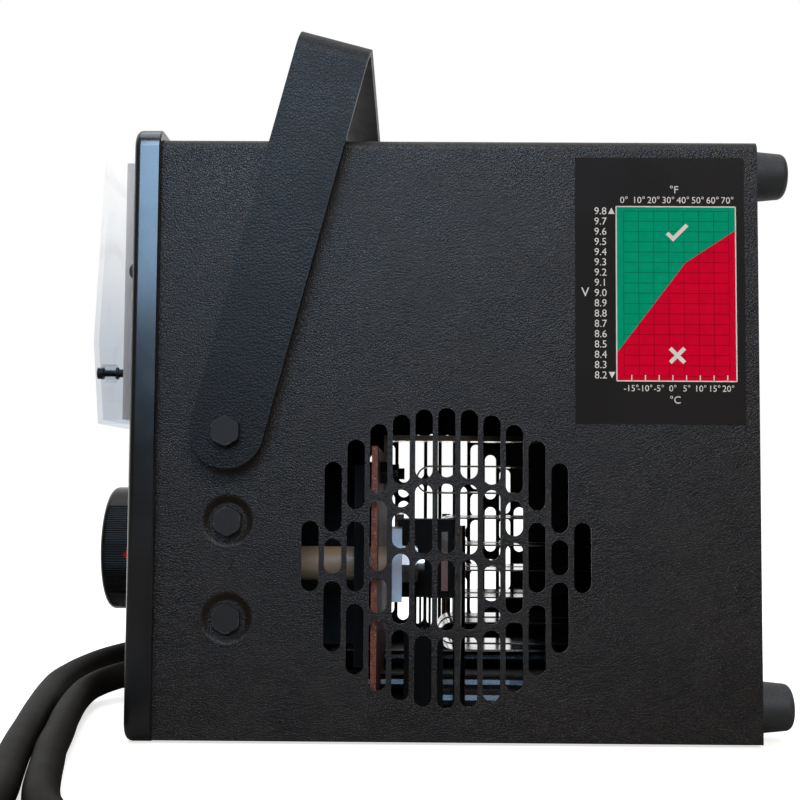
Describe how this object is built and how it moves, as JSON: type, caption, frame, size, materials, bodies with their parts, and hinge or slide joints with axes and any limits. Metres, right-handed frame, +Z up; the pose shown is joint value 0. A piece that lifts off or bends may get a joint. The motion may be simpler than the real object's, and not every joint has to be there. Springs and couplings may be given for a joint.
{
  "type": "battery load tester",
  "caption": "Vented steel box with panel meters, a load knob over a carbon pile, a strap handle, and battery clamps on heavy leads.",
  "frame": {"origin": "bottom centre of the tester without its leads: midway between the knob's face and the rear feet's tips, on the centre plane, at the ground", "axes": "+Z up, -X out through the front panel, +Y towards the left of someone facing the front panel"},
  "size_m": [0.4337, 0.769, 0.3016],
  "materials": {
    "case_paint": "black leather-grain paint",
    "bezel_moulding": "satin black moulding",
    "panel_paint": "fine black paint",
    "black_steel": "black oxide",
    "strap_paint": "smooth black paint",
    "zinc_steel": "zinc plated",
    "foot_rubber": "moulded black rubber",
    "label_vinyl": "black label with coloured fields",
    "knob_moulding": "gloss black with a red mark",
    "bright_disc": "spun",
    "brass_parts": "turned",
    "carbon": "matt carbon",
    "cream_ceramic": "unglazed",
    "pressed_fibre": "pressed fibre board",
    "shunt_black": "blackened",
    "ribbon_alloy": "bright resistance ribbon",
    "tinned_copper": "tinned",
    "cable_rubber": "smooth black jacket",
    "meter_moulding": "pale beige moulding",
    "dial_card": "printed dial",
    "clear_plastic": "clear moulding",
    "needle_paint": "red paint",
    "black_plastic": "black moulding",
    "clamp_plate": "copper plated",
    "red_plastic": "red moulding"
  },
  "bodies": {
    "tester": {"case_wrap": "case_paint", "base_pan": "case_paint", "front_bezel": "bezel_moulding", "front_panel": "panel_paint", "pivot_bolts": "black_steel", "side_bolts": "black_steel", "panel_screws": "black_steel", "base_screws": "black_steel", "meter_cover_screws": "black_steel", "pile_front_plate": "black_steel", "pile_rear_plate": "black_steel", "board_bolts": "black_steel", "pivot_spacers": "strap_paint", "bolt_nuts": "zinc_steel", "tie_rod_nuts": "zinc_steel", "tie_rods": "zinc_steel", "foot_screws": "zinc_steel", "clamp_plates": "zinc_steel", "meter_movements": "zinc_steel", "clamp_pins": "zinc_steel", "clamp_springs": "zinc_steel", "rubber_feet": "foot_rubber", "cable_bushings": "foot_rubber", "chart_label": "label_vinyl", "screw_bushing": "brass_parts", "meter_studs": "brass_parts", "carbon_plates": "carbon", "insulating_tubes": "cream_ceramic", "fibre_board": "pressed_fibre", "current_shunt": "shunt_black", "load_ribbons": "ribbon_alloy", "ribbon_posts": "ribbon_alloy", "bus_strap": "tinned_copper", "inner_cables": "cable_rubber", "near_lead": "cable_rubber", "far_lead": "cable_rubber", "near_coil": "cable_rubber", "far_coil": "cable_rubber", "volt_base": "meter_moulding", "amp_base": "meter_moulding", "volt_dial": "dial_card", "amp_dial": "dial_card", "volt_cover": "clear_plastic", "amp_cover": "clear_plastic", "black_fixed_grip": "black_plastic", "clamp_frames": "clamp_plate", "red_fixed_grip": "red_plastic"},
    "handle": {"handle_strap": "strap_paint"},
    "pressure": {"pressure_plate": "zinc_steel"},
    "knob": {"load_knob": "knob_moulding", "knob_inlay": "bright_disc", "load_screw": "zinc_steel"},
    "volt_pointer": {"volt_needle": "needle_paint"},
    "amp_pointer": {"amp_needle": "needle_paint"},
    "volt_adjuster": {"volt_zero_screw": "black_plastic"},
    "amp_adjuster": {"amp_zero_screw": "black_plastic"},
    "red_clamp_jaw": {"red_jaw": "clamp_plate", "red_grip": "red_plastic"},
    "black_clamp_jaw": {"black_jaw": "clamp_plate", "black_grip": "black_plastic"}
  },
  "joints": [
    {"name": "handle_swing", "type": "hinge", "parent": "tester", "child": "handle", "pos_m": [-0.0776, 0, 0.1294], "axis": [0, 1, 0], "range_deg": [-115, 22.5]},
    {"name": "pressure_slide", "type": "slide", "parent": "tester", "child": "pressure", "axis": [1, 0, 0], "range_m": [0, 0.00222]},
    {"name": "load_knob_turn", "type": "hinge", "parent": "pressure", "child": "knob", "pos_m": [-0.1, 0, 0.0723], "axis": [1, 0, 0], "range_deg": [0, 631]},
    {"name": "volt_needle_swing", "type": "hinge", "parent": "tester", "child": "volt_pointer", "pos_m": [-0.1294, 0.074, 0.16], "axis": [1, 0, 0], "range_deg": [0, 90], "stiffness_Nm_per_rad": 0.0005},
    {"name": "amp_needle_swing", "type": "hinge", "parent": "tester", "child": "amp_pointer", "pos_m": [-0.1294, -0.074, 0.16], "axis": [1, 0, 0], "range_deg": [0, 90], "stiffness_Nm_per_rad": 0.0005},
    {"name": "volt_zero_turn", "type": "hinge", "parent": "tester", "child": "volt_adjuster", "pos_m": [-0.135, 0.074, 0.147], "axis": [1, 0, 0], "range_deg": [-45, 45]},
    {"name": "amp_zero_turn", "type": "hinge", "parent": "tester", "child": "amp_adjuster", "pos_m": [-0.135, -0.074, 0.147], "axis": [1, 0, 0], "range_deg": [-45, 45]},
    {"name": "red_clamp_open", "type": "hinge", "parent": "tester", "child": "red_clamp_jaw", "pos_m": [-0.03544, -0.57286, 0.014], "axis": [0, 0, 1], "range_deg": [0, 25], "stiffness_Nm_per_rad": 0.8, "springref_deg": -28.65},
    {"name": "black_clamp_open", "type": "hinge", "parent": "tester", "child": "black_clamp_jaw", "pos_m": [-0.20744, -0.57286, 0.014], "axis": [0, 0, 1], "range_deg": [0, 25], "stiffness_Nm_per_rad": 0.8, "springref_deg": -28.65}
  ],
  "couplings": [
    {"joint": "load_knob_turn", "follows": "pressure_slide", "rad_per_m": 4947.4}
  ]
}
